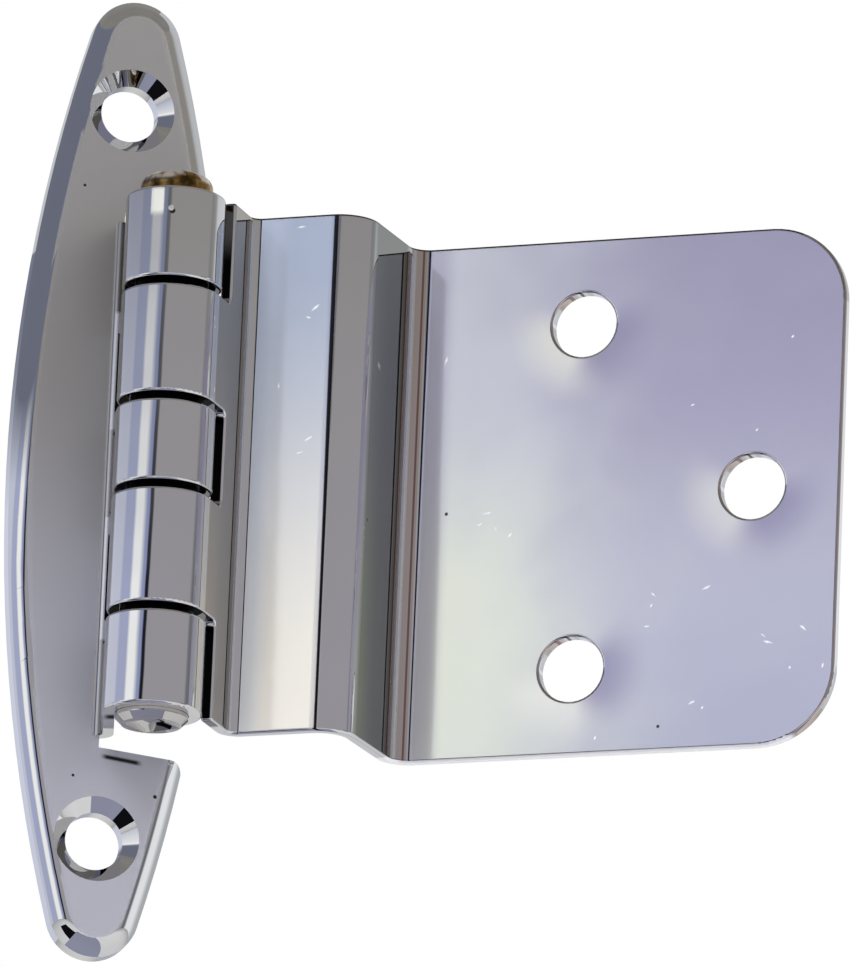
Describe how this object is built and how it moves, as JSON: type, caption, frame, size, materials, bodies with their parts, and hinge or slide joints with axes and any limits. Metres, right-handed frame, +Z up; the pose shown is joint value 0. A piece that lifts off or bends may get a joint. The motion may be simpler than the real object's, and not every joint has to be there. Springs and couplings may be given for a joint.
{
  "type": "inset cabinet hinge",
  "caption": "Chromed inset hinge: a bowed plate with countersunk screw holes, a rolled barrel on a pin, and a stepped leaf for a rebated cabinet door.",
  "frame": {"origin": "midway between the frame leaf's two screw holes, in the plane of its mounting rim", "axes": "+Z up along the pin, +Y into the cabinet's frame, -Y out to the room, +X from the barrel to the door"},
  "size_m": [0.0558, 0.0196, 0.0698],
  "materials": {
    "frame_leaf": "polished chrome plate on steel, fine pits",
    "door_leaf": "polished chrome plate on steel, small scratches",
    "hinge_pin": "chrome plate worn to a brassy tint at the side"
  },
  "bodies": {
    "frame": {"frame_leaf": "frame_leaf", "hinge_pin": "hinge_pin"},
    "door": {"door_leaf": "door_leaf"}
  },
  "joints": [
    {"name": "leaf_swing", "type": "hinge", "parent": "frame", "child": "door", "pos_m": [0.00205, -0.0091, 0], "axis": [0, 0, 1], "range_deg": [-147.35, 32.65]}
  ]
}
